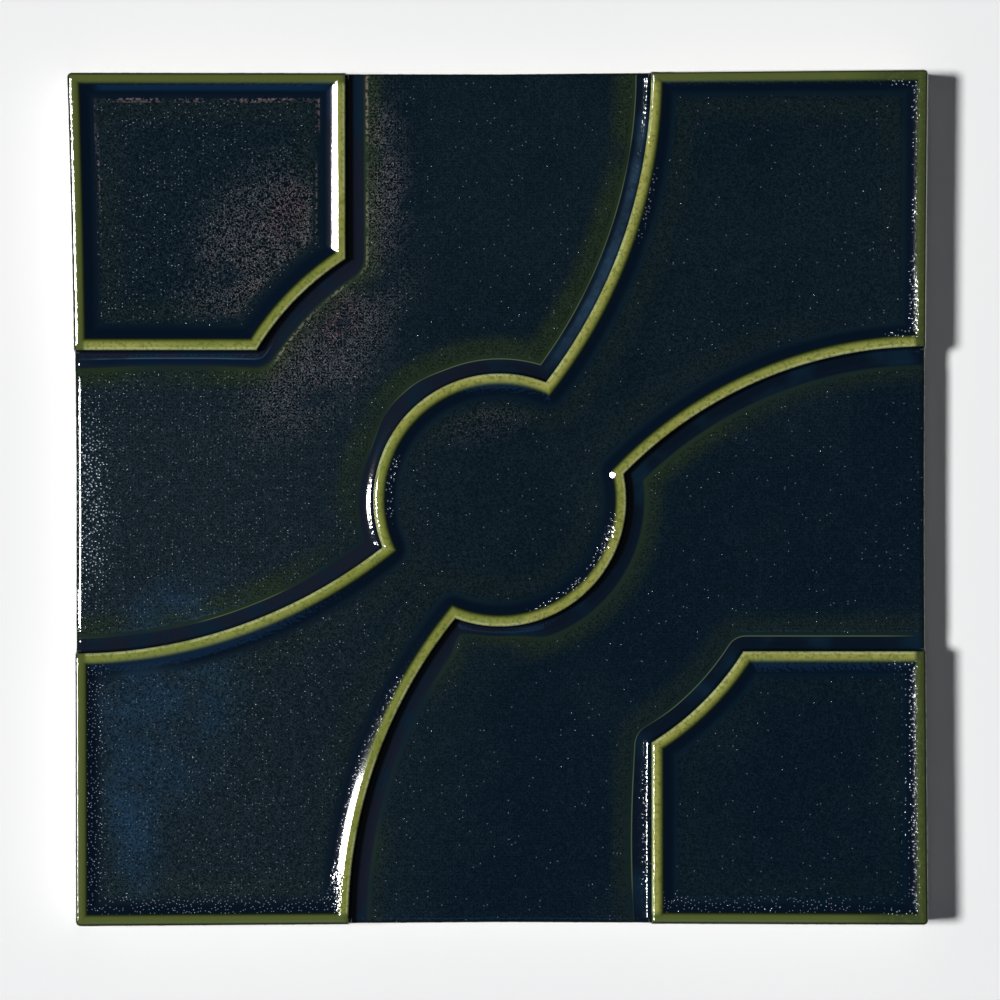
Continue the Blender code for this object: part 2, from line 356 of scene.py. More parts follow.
def grid_inside(outline, step):
    """Points of a staggered grid that lie inside an outline and clear of it."""
    corners = np.array(outline)
    low, high = corners.min(0), corners.max(0)
    grid = []
    for index, y in enumerate(np.arange(low[1] + step / 2, high[1], step * ROW_STEP)):
        start = low[0] + step * (0.25 + 0.5 * (index % 2))
        grid += [(float(x), float(y)) for x in np.arange(start, high[0], step)]
    grid = [point for point, within in zip(grid, inside(grid, outline)) if within]
    return clear_of(grid, outline, step * GRID_MARGIN)


def fill_field(outline):
    """Even triangles inside a closed row of vertices. Its inner points are far from the rim."""
    points = [(v.co.x / MM, v.co.y / MM) for v in outline]
    inner = grid_inside(points, FIELD_STEP / MM)
    edges = [(i, (i + 1) % len(points)) for i in range(len(points))]
    coordinates = [Vector(p) for p in points + inner]
    triangles = delaunay_2d_cdt(coordinates, edges, [], 0, 1e-7, True)[2]
    triangles = [t for t in triangles if area_tri(*(coordinates[i] for i in t)) > SLIVER_AREA]
    middles = [sum((coordinates[i] for i in t), Vector((0, 0))) / 3 for t in triangles]
    distance = math.copysign(FAR_FROM_RIM, outline[0][rim_layer])
    vertices = [*outline, *add_row([Vector(p) * MM for p in inner], distance)]
    for triangle, within in zip(triangles, inside(middles, points)):
        if within:
            flat.faces.new([vertices[i] for i in triangle])
    return len(inner)


# %% The three raised areas
for runs in raised_areas:
    rows = [add_row(closed_loop(runs, d * MM), d * MM) for d in RAISED_ROWS]
    for one, other in zip(rows, rows[1:]):
        add_strip(one, other, True)
    print("raised area:", len(rows[0]), "points round it,", fill_field(rows[-1]), "inside")


# %% The two sunken fields, from the rim of a cell to the rim of the band
def add_wall(runs, first_edge, last_edge, narrow):
    """The rows from a rim down to the sunken field. Returns the last one."""
    rows = []
    for distance in SUNKEN_ROWS:
        points = open_chain(runs, distance * MM, first_edge, last_edge)
        rows.append(add_row(points, distance * MM, narrow))
    for one, other in zip(rows, rows[1:]):
        add_strip(one, other, False)
    return rows[-1]


def add_field_edge(from_row, to_row):
    """The rows of a sunken field along the tile's side. Returns its inner vertices."""
    length = (from_row[-1].co - to_row[0].co).length
    count = round(length / STEP)
    before = None
    for level in range(len(EDGE_ROWS) + 1):
        start, end = from_row[-1 - level].co, to_row[level].co
        between = [start.lerp(end, i / count).to_2d() for i in range(1, count)]
        row = add_row(between, math.copysign(FAR_FROM_RIM, -1))
        row = [from_row[-1 - level], *row, to_row[level]]
        if before:
            add_strip(before, row, False)
        before = row
    return before[1:-1]


def add_sunken_field(cell, band, cell_edges, band_edges, cell_is_narrow):
    """The sunken field between a corner cell and the band."""
    cell_row = add_wall(cell, *cell_edges, float(cell_is_narrow))
    band_row = add_wall(band, *band_edges, float(not cell_is_narrow))
    near = add_field_edge(cell_row, band_row)
    far = add_field_edge(band_row, cell_row)
    depth = len(EDGE_ROWS)
    outline = [*cell_row[depth:-depth], *near, *band_row[depth:-depth], *far]
    return fill_field(outline)


LEFT, RIGHT = edge_line("x", -HALF), edge_line("x", HALF)
TOP, BOTTOM = edge_line("y", HALF), edge_line("y", -HALF)
upper = add_sunken_field(high_cell, high_band, (LEFT, TOP), (TOP, LEFT), False)
lower = add_sunken_field(low_cell, low_band, (RIGHT, BOTTOM), (BOTTOM, RIGHT), True)
print("sunken fields, points inside:", upper, lower)
bmesh.ops.remove_doubles(flat, verts=flat.verts, dist=MERGE_DISTANCE)
print("open edges round the face:", sum(edge.is_boundary for edge in flat.edges))

# %% [markdown]
# ## Sides and back
#
# The sides are plain clay, drawn down from the edge of the face, with a worn lower arris.
# They could be a Solidify modifier, but that would wall the relief's own slopes as well.
# The middle of the fired outline is then put on the Z axis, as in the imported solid.

# %% Draw the sides down, close the back and centre the outline
SIDE_ARRIS = 0.3 * MM
SIDE_LEVELS = (7.3 * MM, 5.0 * MM, 2.5 * MM, SIDE_ARRIS)


def draw_down(edges, height, inset=0.0):
    """A new row of vertices below the given edges. Returns its edges."""
    drawn = bmesh.ops.extrude_edge_only(flat, edges=edges)["geom"]
    for vertex in (v for v in drawn if isinstance(v, bmesh.types.BMVert)):
        vertex.co.z = height
        vertex[face_layer] = 0.0
        vertex[edge_layer] = -height
        if abs(vertex.co.x) > HALF - inset - MERGE_DISTANCE:
            vertex.co.x -= math.copysign(inset, vertex.co.x)
        if abs(vertex.co.y) > HALF - inset - MERGE_DISTANCE:
            vertex.co.y -= math.copysign(inset, vertex.co.y)
    return [e for e in drawn if isinstance(e, bmesh.types.BMEdge) and e.is_boundary]


border = [edge for edge in flat.edges if edge.is_boundary]
for level in SIDE_LEVELS:
    border = draw_down(border, level)
border = draw_down(border, 0.0, SIDE_ARRIS)
bmesh.ops.contextual_create(flat, geom=border)
for vertex in flat.verts:
    vertex.co.x, vertex.co.y = fired_place(vertex.co.x, vertex.co.y)
bmesh.ops.recalc_face_normals(flat, faces=flat.faces)
xs = [vertex.co.x for vertex in flat.verts]
ys = [vertex.co.y for vertex in flat.verts]
MIDDLE = Vector(((min(xs) + max(xs)) / 2, (min(ys) + max(ys)) / 2, 0.0))
bmesh.ops.translate(flat, verts=flat.verts, vec=-MIDDLE)
print("outline, mm:", round((max(xs) - min(xs)) / MM, 2), round((max(ys) - min(ys)) / MM, 2))
print("middle of the outline from the plan's origin, mm:", [round(v / MM, 3) for v in MIDDLE])

tile_data = bpy.data.meshes.new("glazed_tile")
flat.to_mesh(tile_data)
flat.free()
tile = bpy.data.objects.new("glazed_tile", tile_data)
bpy.context.scene.collection.objects.link(tile)
print("faces:", len(tile_data.polygons))

# %% The rim's middle line, as a wire that distances are measured from
wire = bmesh.new()
for runs in raised_areas:
    line_row = []
    for point in closed_loop(runs, 0.0):
        x, y = fired_place(point.x, point.y)
        line_row.append(wire.verts.new(Vector((x, y, 0.0)) - MIDDLE))
    for index, vertex in enumerate(line_row):
        wire.edges.new((line_row[index - 1], vertex))
wire_data = bpy.data.meshes.new("rim_line")
wire.to_mesh(wire_data)
wire.free()
rim_line = bpy.data.objects.new("rim_line", wire_data)
bpy.context.scene.collection.objects.link(rim_line)
print("rim line points:", len(wire_data.vertices))

# %% [markdown]
# ## The section of the rim
#
# The press gives every raised area the same section: a rounded rim, a hollow inside it and
# a channel at its foot. It could be swept along the rim's line, but a sweep folds at sharp
# corners. Two tables of distance and height are enough here, because a Float Curve node can
# read them for every point at once. A third table rolls the face over at the tile's edge.

# %% The sections, in millimetres: distance, and height above the back
RIM_TOP = 11.0 * MM
RAISED_REACH = 7.0
RAISED_SECTION = [
    (0.0, 10.5), (0.07, 10.66), (0.17, 10.78), (0.3, 10.842), (0.45, 10.885), (0.65, 10.93),
    (0.85, 10.968), (1.0, 10.985), (1.2, 10.965), (1.45, 10.9), (1.75, 10.818), (2.05, 10.736),
    (2.3, 10.67), (2.6, 10.605), (3.0, 10.53), (3.4, 10.46), (3.75, 10.41), (4.05, 10.39),
    (4.35, 10.4), (4.6, 10.425), (4.9, 10.435), (7.0, 10.435),
]
SUNKEN_REACH = 7.0
SUNKEN_SECTION = [
    (0.0, 10.5), (0.05, 10.25), (0.15, 9.65), (0.28, 9.05), (0.42, 8.66), (0.58, 8.49),
    (0.8, 8.42), (1.1, 8.36), (1.5, 8.29), (1.9, 8.22), (2.2, 8.175), (2.45, 8.155),
    (2.75, 8.165), (3.2, 8.22), (3.7, 8.285), (4.2, 8.34), (4.8, 8.385), (5.4, 8.4),
    (6.2, 8.4), (7.0, 8.4),
]
EDGE_REACH = 2.0
EDGE_SECTION = [
    (0.0, 0.0), (0.08, 0.14), (0.2, 0.23), (0.35, 0.29), (0.5, 0.335), (0.85, 0.435),
    (1.0, 0.45), (1.15, 0.44), (1.45, 0.4), (1.7, 0.4), (2.0, 0.4),
]
EDGE_LIP = 0.45 * MM
EDGE_DROP = 0.4 * MM
CREST = max(height for _, height in RAISED_SECTION)
DEEPEST = min(height for _, height in SUNKEN_SECTION)
print("crest and channel, mm:", CREST, DEEPEST)

# %% [markdown]
# ## Places where the hand of the glazer shows
#
# No two sides of a glazed tile are alike: the melt filled one groove and left the next one
# open. Such differences could be sculpted. A list of soft oval zones is easier to read and
# to correct. A row gives the zone's middle and its two half lengths in millimetres, its
# angle in degrees, how much of it is the soft border, and last how strongly it acts. Some
# of the glaze's zones place painted reflections and glints of the lamps.

# %% Zones that shape the relief
# A groove gets narrower where its share is above 0 and wider where it is below. A flat
# pool loses that share of its slope, and a full rim swells on its outer flank.
NARROW_SQUEEZE = 0.2
NARROW_ZONES = [
    ((-20.5, 3.5), (11.0, 6.0), 100.0, 0.8, 0.42),
    ((-17.0, 18.0), (10.0, 6.0), 45.0, 0.8, -0.2),
    ((-1.0, -24.5), (10.0, 6.0), 0.0, 0.8, 0.8),
    ((-57.0, 25.0), (21.0, 5.0), 0.0, 0.8, 0.2),
    ((26.2, -61.0), (28.0, 9.0), 90.0, 0.8, -0.33),
]
FLAT_POOLS = [
    ((19.5, 0.5), (7.0, 8.0), 0.0, 0.8, 0.5),
    ((-28.8, -72.0), (8.0, 6.0), 90.0, 0.8, 0.22),
]
FAR_SIDE = (HALF / MM - 6.5, HALF / MM - 4.5)
FAR_FLATTER = (0.5 * MM, 1.8 * MM, 0.16, 0.04)
FAR_SHINE = ((72.5, 33.0), (8.0, 5.0), 90.0, 0.5)
FULL_RIMS = [
    ((-75.0, -54.0), (31.0, 3.5), 90.0, 0.3, 1.0),
    ((26.9, -61.0), (22.0, 2.5), 90.0, 0.3, 1.0),
]
FULL_RIM_LIFT = 0.055 * MM
print("zones that shape the relief:", len(NARROW_ZONES + FLAT_POOLS + FULL_RIMS) + 1)

# %% Zones that only the glaze reads: painted blue reflections, painted glints and sheens
GLAZE_ZONES = {
    "haze": [
        ((-65.0, -51.0), (28.0, 7.5), 92.0, 0.8, 1.0),
        ((-57.0, -36.0), (30.0, 15.0), 75.0, 0.8, 0.7),
        ((-58.5, -18.5), (12.0, 6.0), 22.0, 0.8, 0.8),
    ],
    "low_haze": [((-62.0, -36.0), (13.0, 10.0), 0.0, 0.8, 1.0)],
    "cell_bloom": [
        ((-40.5, 44.5), (25.0, 16.0), 52.0, 0.8, 1.0),
        ((-3.5, 14.8), (14.0, 6.5), 12.0, 0.8, 0.28),
    ],
    "field_bloom": [
        ((-31.0, 26.0), (27.0, 12.5), 50.0, 0.9, 1.0),
        ((-21.0, 55.0), (26.0, 7.0), 90.0, 0.9, 1.0),
    ],
    "rosy": [
        ((-37.5, 50.0), (9.0, 5.0), 70.0, 0.8, 1.0),
        ((-29.0, 32.0), (8.0, 5.0), 40.0, 0.8, 1.0),
    ],
    "sweep_sheen": [((17.5, 46.0), (27.0, 9.0), 68.0, 0.4, 1.0)],
    "cell_foot": [((-57.0, 25.0), (20.0, 5.0), 0.0, 0.3, 1.0)],
    "left_sheen": [((-73.5, -1.0), (27.0, 7.0), 90.0, 0.8, 1.0)],
}
print("zones of the glaze:", sum(len(places) for places in GLAZE_ZONES.values()))

# %% Beads of tiny pits, and places where the glaze lies calm. A bead row starts with its strip
BEAD_ROWS = [
    ((0.9, 2.1), (14.5, -13.5), (16.0, 7.0), 50.0, 0.4, 1.0),
    ((-2.6, -1.5), (26.0, -57.0), (15.0, 4.0), 90.0, 0.4, 0.8),
    ((1.2, 2.4), (-18.7, 2.0), (8.0, 3.5), 97.0, 0.4, 1.0),
    ((1.4, 2.2), (-24.5, -57.0), (23.0, 8.0), 80.0, 0.4, 1.0),
    ((0.9, 1.8), (-20.5, -40.0), (12.0, 5.0), 66.0, 0.4, 1.0),
    ((1.2, 2.1), (26.6, 51.8), (9.0, 4.0), 76.0, 0.4, 0.8),
]
BEAD_BORDER = 0.2
FAR_BEADS = (0.9, 2.0, 0.35)
FAR_BEADS_FROM = (66.0, 70.0)
FAR_BEADS_THIN = (36.0, 44.0, 1.0, 0.5)
FAR_BEADS_AGAIN = (64.0, 68.0, 0.0, 0.9)
CALM_SLOPES = (-4.4, 3.6, 0.6)
CALM_SHARE = 0.52
CALM_FAR_SIDE = 0.75
SOLID_PLACES = [
    ((-29.0, 58.0), (26.0, 6.0), 90.0, 0.2, 0.43),
    ((-24.5, -52.0), (14.0, 8.0), 83.0, 0.2, 0.43),
    ((-20.5, 5.0), (8.0, 3.0), 95.0, 0.3, 0.43),
]
LIVELY_PLACES = [
    ((15.0, -14.0), (14.0, 7.0), 50.0, 0.4, 0.4),
    ((26.0, -59.0), (13.5, 4.0), 90.0, 0.2, 0.5),
    ((-28.0, -70.0), (5.0, 3.0), 90.0, 0.3, 0.6),
]
CALM_GROOVE = (-4.9, -2.4, 0.5)
CALM_GROOVE_SHARE = 0.85
BEADED_GROOVE = ((26.0, -59.0), (13.5, 4.0), 90.0, 0.2)
BLISTER = (19.8, 4.1)
CALM_SPOTS = [
    ((-74.4, -1.0), (27.0, 1.4), 91.5, 0.3, 0.85),
    (BLISTER, (1.6, 1.6), 0.0, 0.4, 1.0),
]
print("bead rows:", len(BEAD_ROWS), "and one along the far side")


# %% Small helpers for building node trees
def new_node(kind, *values):
    """A new node, in the tree that the first socket among the values belongs to."""
    sockets = [value for value in values if isinstance(value, bpy.types.NodeSocket)]
    return sockets[0].id_data.nodes.new(kind)


def socket_into(socket, value):
    """Feeds a node's input, from another node's output or with a plain value."""
    if isinstance(value, bpy.types.NodeSocket):
        socket.id_data.links.new(value, socket)
    elif value is not None:
        socket.default_value = value


def math_node(operation, *values, clamp=False):
    """One Math node. Returns its output."""
    node = new_node("ShaderNodeMath", *values)
    node.operation = operation
    node.use_clamp = clamp
    for socket, value in zip(node.inputs, values):
        socket_into(socket, value)
    return node.outputs[0]


def times(*values):
    """The product of masks and numbers."""
    product = values[0]
    for value in values[1:]:
        product = math_node("MULTIPLY", product, value)
    return product


def strongest(*masks):
    """The greatest of several masks."""
    greatest = masks[0]
    for mask in masks[1:]:
        greatest = math_node("MAXIMUM", greatest, mask)
    return greatest


def without(mask, whole=1.0):
    """What a mask leaves of the whole."""
    return math_node("SUBTRACT", whole, mask)


def eased(value, start, end, low=0.0, high=1.0):
    """A value that turns smoothly from low to high as the input goes from start to end."""
    node = new_node("ShaderNodeMapRange", value, start, end, low, high)
    node.interpolation_type = "SMOOTHSTEP"
    for name, part in zip(("Value", "From Min", "From Max", "To Min", "To Max"),
                          (value, start, end, low, high)):
        socket_into(node.inputs[name], part)
    return node.outputs["Result"]


def fading(value, start, end):
    """A mask that is full up to start and gone from end on."""
    return eased(value, start, end, 1.0, 0.0)


def between(value, start, end, fade):
    """A mask that is full from start to end and fades out on both sides."""
    rising = eased(value, start - fade, start)
    return times(rising, fading(value, end, end + fade))


def section_curve(value, section, reach, full):
    """A Float Curve that turns a share of the reach into a share of the full height."""
    node = new_node("ShaderNodeFloatCurve", value)
    curve = node.mapping.curves[0]
    heights = [height * MM / full for _, height in section]
    places = [distance / reach for distance, _ in section]
    curve.points[0].location = (places[0], heights[0])
    curve.points[-1].location = (places[-1], heights[-1])
    for place, height in zip(places[1:-1], heights[1:-1]):
        curve.points.new(place, height)
    for point in curve.points:
        point.handle_type = "AUTO_CLAMPED"
    node.mapping.update()
    socket_into(node.inputs["Value"], value)
    return node.outputs[0]


def numbers(**values):
    """The rows of a group's number sockets, with the values they start with."""
    return [(name.replace("_", " "), "NodeSocketFloat", value) for name, value in values.items()]


def new_group(name, kind, inputs, outputs):
    """An empty node group with named inputs and outputs, and its two end nodes."""
    tree = bpy.data.node_groups.new(name, kind)
    for label, kind_of_socket, default in inputs:
        socket = tree.interface.new_socket(label, in_out="INPUT", socket_type=kind_of_socket)
        if default is not None:
            socket.default_value = default
    for label, kind_of_socket, _ in outputs:
        tree.interface.new_socket(label, in_out="OUTPUT", socket_type=kind_of_socket)
    ends = tree.nodes.new("NodeGroupInput"), tree.nodes.new("NodeGroupOutput")
    return tree, ends[0].outputs, ends[1].inputs


# %% Zones of the plan, in millimetres from its middle, for the tree and for the glaze
def plan_place(place):
    """A position on the tile, turned into millimetres from the middle of the plan."""
    moved = new_node("ShaderNodeVectorMath", place)
    moved.operation = "ADD"
    socket_into(moved.inputs[0], place)
    moved.inputs[1].default_value = (MIDDLE.x, MIDDLE.y, 0.0)
    scaled = new_node("ShaderNodeVectorMath", place)
    scaled.operation = "SCALE"
    socket_into(scaled.inputs[0], moved.outputs[0])
    scaled.inputs["Scale"].default_value = 1 / MM
    parts = new_node("ShaderNodeSeparateXYZ", place)
    socket_into(parts.inputs[0], scaled.outputs[0])
    return parts.outputs["X"], parts.outputs["Y"]


def along_line(spot, middle, angle):
    """How far a spot lies from the middle, measured along a line at an angle in degrees."""
    turn = math.radians(angle)
    x = math_node("SUBTRACT", spot[0], middle[0])
    y = math_node("SUBTRACT", spot[1], middle[1])
    return math_node("MULTIPLY_ADD", x, math.cos(turn), times(y, math.sin(turn)))


def zone(spot, middle, reach, angle, fade):
    """A soft oval zone. Reach gives its half lengths along the angle and square to it."""
    long_part = math_node("DIVIDE", along_line(spot, middle, angle), reach[0])
    wide_part = math_node("DIVIDE", along_line(spot, middle, angle + 90), reach[1])
    square = times(wide_part, wide_part)
    square = math_node("MULTIPLY_ADD", long_part, long_part, square)
    return fading(math_node("SQRT", square), 1.0 - fade, 1.0)


def weighed_zones(spot, places):
    """A mask for each row of a list of zones, times the share that ends the row."""
    return [times(zone(spot, *place), share) for *place, share in places]


# %% [markdown]
# ## Raising the relief with Geometry Nodes
#
# The relief follows a rule, so a node tree raises it. It measures how far each point is
# from the rim's middle line and reads the height from the two section curves. Near the rim
# it keeps the mitred corners of the rows. Further out it uses the true distance, which
# rounds the corners, as melted glaze does. Sculpting would lose the rim's even section.

# %% The tree's inputs, which are the sizes and materials that a user of it may change
SWELL_HEIGHT = 0.05 * MM
SWELL_SIZE = 9.0 * MM
GEOMETRY = ("Geometry", "NodeSocketGeometry", None)
relief, given, made = new_group(
    "raise_the_relief",
    "GeometryNodeTree",
    [
        GEOMETRY,
        ("Rim Line", "NodeSocketObject", None),
        *numbers(Rim_Top=RIM_TOP, Swell_Height=SWELL_HEIGHT, Swell_Size=SWELL_SIZE, Seed=3.0),
        ("Glaze", "NodeSocketMaterial", None),
        ("Clay", "NodeSocketMaterial", None),
    ],
    [GEOMETRY],
)


def named(tree, name):
    """A stored number of each point."""
    node = tree.nodes.new("GeometryNodeInputNamedAttribute")
    node.data_type = "FLOAT"
    node.inputs["Name"].default_value = name
    return node.outputs["Attribute"]


def compare(one, other):
    """True where one is greater than the other."""
    node = new_node("FunctionNodeCompare", one, other)
    node.operation = "GREATER_THAN"
    socket_into(node.inputs["A"], one)
    socket_into(node.inputs["B"], other)
    return node.outputs["Result"]


def switch(test, if_false, if_true):
    """One of two numbers."""
    node = new_node("GeometryNodeSwitch", test)
    node.input_type = "FLOAT"
    for name, value in zip(("Switch", "False", "True"), (test, if_false, if_true)):
        socket_into(node.inputs[name], value)
    return node.outputs["Output"]


print("inputs of the tree:", [socket.name for socket in given if socket.name])

# %% How far each point is from the rim's middle line, on both sides of it
MITRED_TO = 1.0 * MM
ROUNDED_FROM = 2.6 * MM
RIM_EDGE = -HALF_RIM * 1.0001
signed_rows = named(relief, "rim_distance")
wire_info = relief.nodes.new("GeometryNodeObjectInfo")
socket_into(wire_info.inputs["Object"], given["Rim Line"])
nearest = relief.nodes.new("GeometryNodeProximity")
nearest.target_element = "EDGES"
socket_into(nearest.inputs[0], wire_info.outputs["Geometry"])
row_gap = math_node("ABSOLUTE", signed_rows)
softening = eased(row_gap, MITRED_TO, ROUNDED_FROM)
true_gap = math_node("SUBTRACT", nearest.outputs["Distance"], row_gap)
gap = math_node("MULTIPLY_ADD", true_gap, softening, row_gap)
is_raised = compare(signed_rows, RIM_EDGE)
inner_half = compare(signed_rows, 0.0)
position = relief.nodes.new("GeometryNodeInputPosition").outputs[0]
spot = plan_place(position)
squeeze = math_node("MULTIPLY_ADD", named(relief, "narrow_groove"), NARROW_SQUEEZE, 1.0)
for part in weighed_zones(spot, NARROW_ZONES):
    squeeze = math_node("ADD", squeeze, part)
beyond = strongest(math_node("SUBTRACT", gap, HALF_RIM), 0.0)
within = math_node("MINIMUM", gap, HALF_RIM)
sunken_gap = math_node("MULTIPLY_ADD", beyond, squeeze, within)
raised_gap = switch(inner_half, times(gap, -1.0), gap)
print("nodes that measure:", len(relief.nodes))

# %% [markdown]
# ## Heights, and a slow swell
#
# A height is a share of the rim's top, because a Float Curve works best between 0 and 1.
# Where the melt lay flatter, a share of what is missing up to the crest is given back, and
# two rims get a fuller outer flank. A slow swell is taken off at the end, because no
# pressed and fired face is flat, and the face is rolled over at the tile's edge.

# %% The heights on both sides of the rim
FLANK_RISE = (0.0, 0.2 * MM)
FLANK_FALL = (0.3 * MM, 0.9 * MM)
FLAT_POOLS_FROM = 0.15 * MM
raised_part = math_node("ADD", raised_gap, HALF_RIM)
raised_share = math_node("DIVIDE", raised_part, RAISED_REACH * MM)
sunken_part = math_node("SUBTRACT", sunken_gap, HALF_RIM)
sunken_share = math_node("DIVIDE", sunken_part, SUNKEN_REACH * MM)
raised_height = section_curve(raised_share, RAISED_SECTION, RAISED_REACH, RIM_TOP)
sunken_height = section_curve(sunken_share, SUNKEN_SECTION, SUNKEN_REACH, RIM_TOP)
far_flatter = times(eased(signed_rows, *FAR_FLATTER),
                    without(zone(spot, *FAR_SHINE)))
flatter = strongest(*weighed_zones(spot, FLAT_POOLS))
far_side = eased(spot[0], *FAR_SIDE)
flatter = math_node("MULTIPLY_ADD", far_side, far_flatter, flatter)
flatter = times(flatter, compare(signed_rows, FLAT_POOLS_FROM))
missing = math_node("SUBTRACT", CREST * MM / RIM_TOP, raised_height)
raised_height = math_node("MULTIPLY_ADD", missing, flatter, raised_height)
fuller = times(strongest(*weighed_zones(spot, FULL_RIMS)),
               eased(raised_part, *FLANK_RISE), fading(raised_part, *FLANK_FALL))
raised_height = math_node("MULTIPLY_ADD", fuller, FULL_RIM_LIFT / RIM_TOP, raised_height)
height = switch(is_raised, sunken_height, raised_height)
height = times(height, given["Rim Top"])
print("nodes with the heights:", len(relief.nodes))

# %% The swell, and the rolled edge of the face
ROLLED_FROM = (-1.3 * MM, -0.86 * MM)
swell = relief.nodes.new("ShaderNodeTexNoise")
swell.noise_dimensions = "4D"
swell.inputs["Detail"].default_value = 1.0
socket_into(swell.inputs["Scale"], math_node("DIVIDE", 1.0, given["Swell Size"]))
socket_into(swell.inputs["W"], given["Seed"])
socket_into(swell.inputs["Vector"], position)
taken_off = times(swell.outputs[0], given["Swell Height"])
height = math_node("SUBTRACT", height, taken_off)
edge_gap = named(relief, "edge_distance")
edge_share = math_node("DIVIDE", edge_gap, EDGE_REACH * MM, clamp=True)
edge_lift = section_curve(edge_share, EDGE_SECTION, EDGE_REACH, EDGE_LIP)
edge_lift = math_node("MULTIPLY_ADD", edge_lift, EDGE_LIP, -EDGE_DROP)
edge_part = fading(signed_rows, *ROLLED_FROM)
height = math_node("MULTIPLY_ADD", edge_lift, edge_part, height)
print("nodes with the swell and the edge:", len(relief.nodes))

# %% [markdown]
# ## Numbers that the glaze will need
#
# The glaze has to know where it lies: how far from the rim, in which zone, in a calm or a
# beaded place. A material could work that out for each pixel, but it would do so again at
# every sample. The tree works it out once for each point and stores it on the mesh.

# %% Masks for the beads and the calm places
signed_gap = switch(inner_half, times(sunken_gap, -1.0), gap)
gap_mm = math_node("DIVIDE", signed_gap, MM)
far_share = strongest(eased(spot[1], *FAR_BEADS_THIN), eased(spot[1], *FAR_BEADS_AGAIN))
beads = [times(between(gap_mm, *FAR_BEADS),
               eased(spot[0], *FAR_BEADS_FROM), far_share)]
for (first, last), *place, share in BEAD_ROWS:
    strip = between(gap_mm, first, last, BEAD_BORDER)
    beads.append(times(strip, zone(spot, *place), share))
solid = strongest(*weighed_zones(spot, SOLID_PLACES))
lively = strongest(*weighed_zones(spot, LIVELY_PLACES))
calm = math_node("SUBTRACT", math_node("ADD", solid, CALM_SHARE), lively)
calm = strongest(calm, eased(spot[0], *FAR_BEADS_FROM, 0.0, CALM_FAR_SIDE))
calm = times(between(gap_mm, *CALM_SLOPES), calm)
calm_groove = times(between(gap_mm, *CALM_GROOVE),
                    without(zone(spot, *BEADED_GROOVE), CALM_GROOVE_SHARE))
print("nodes with the beads and the calm places:", len(relief.nodes))

# %% Store the numbers, lift the face and set both materials
masks = {"glaze_distance": signed_gap, "glaze_height": height}
for name, places in GLAZE_ZONES.items():
    masks[name] = strongest(*weighed_zones(spot, places))
masks["beads"] = strongest(*beads)
masks["calm"] = strongest(calm, calm_groove, *weighed_zones(spot, CALM_SPOTS))
flat_facts = given["Geometry"]
for name, value in masks.items():
    keep = relief.nodes.new("GeometryNodeStoreNamedAttribute")
    keep.inputs["Name"].default_value = name
    socket_into(keep.inputs["Geometry"], flat_facts)
    socket_into(keep.inputs["Value"], value)
    flat_facts = keep.outputs[0]

lifted = relief.nodes.new("ShaderNodeCombineXYZ")
socket_into(lifted.inputs["Z"], named(relief, "glaze_height"))
lift = relief.nodes.new("GeometryNodeSetPosition")
socket_into(lift.inputs["Geometry"], flat_facts)
socket_into(lift.inputs["Selection"], compare(named(relief, "on_face"), 0.5))
socket_into(lift.inputs["Offset"], lifted.outputs[0])
realized = relief.nodes.new("GeometryNodeRealizeInstances")
socket_into(realized.inputs[0], lift.outputs[0])
glazing = relief.nodes.new("GeometryNodeSetMaterial")
socket_into(glazing.inputs["Geometry"], realized.outputs[0])
socket_into(glazing.inputs["Material"], given["Glaze"])
baring = relief.nodes.new("GeometryNodeSetMaterial")
socket_into(baring.inputs["Geometry"], glazing.outputs[0])
socket_into(baring.inputs["Material"], given["Clay"])
below_face = without(named(relief, "on_face"))
socket_into(baring.inputs["Selection"], compare(below_face, 0.01))
socket_into(made["Geometry"], baring.outputs[0])
print("numbers stored:", ", ".join(masks))
print("nodes in the tree:", len(relief.nodes))

# %% [markdown]
# ## Effects that both finishes share
#
# The glaze is see-through where it is thin. It shows lime over every edge that the clay
# pushes up, and it is nearly black where it pools. Painting that on an image would blur,
# so colour bands are read from the rim distance. Four small groups are shared: a soft band
# of a distance, a cloudy mottle, the fine dimples that glossy glaze is full of, and pits
# left by gas that bubbled out of the melt.


# %% Shader groups
def texture(kind, vector, scale, **values):
    """A texture node on the given coordinates."""
    node = new_node(kind, vector)
    socket_into(node.inputs["Vector"], vector)
    socket_into(node.inputs["Scale"], scale)
    for name, value in values.items():
        socket_into(node.inputs[name], value)
    return node


def place_group(group, **values):
    """A group node with its own values. Returns its outputs."""
    node = new_node("ShaderNodeGroup", *values.values())
    node.node_tree = group
    for name, value in values.items():
        socket_into(node.inputs[name.replace("_", " ")], value)
    return node.outputs


VECTOR = ("Vector", "NodeSocketVector", None)
soft_band, given, made = new_group(
    "soft_band",
    "ShaderNodeTree",
    numbers(Distance=0.0, From=0.0, To=1.0, Fade_In=0.1, Fade_Out=0.1),
    numbers(Mask=None),
)
rise_from = math_node("SUBTRACT", given["From"], given["Fade In"])
fall_to = math_node("ADD", given["To"], given["Fade Out"])
rise = eased(given["Distance"], rise_from, given["From"])
fall = fading(given["Distance"], given["To"], fall_to)
socket_into(made["Mask"], times(rise, fall))

mottle, given, made = new_group(
    "mottle",
    "ShaderNodeTree",
    [VECTOR, *numbers(Size=5.0 * MM, Detail=2.0, Low=0.4, High=0.6)],
    numbers(Mask=None, Value=None),
)
frequency = math_node("DIVIDE", 1.0, given["Size"])
cloud = texture("ShaderNodeTexNoise", given["Vector"], frequency, Detail=given["Detail"])
socket_into(made["Mask"], eased(cloud.outputs[0], given["Low"], given["High"]))
socket_into(made["Value"], cloud.outputs[0])

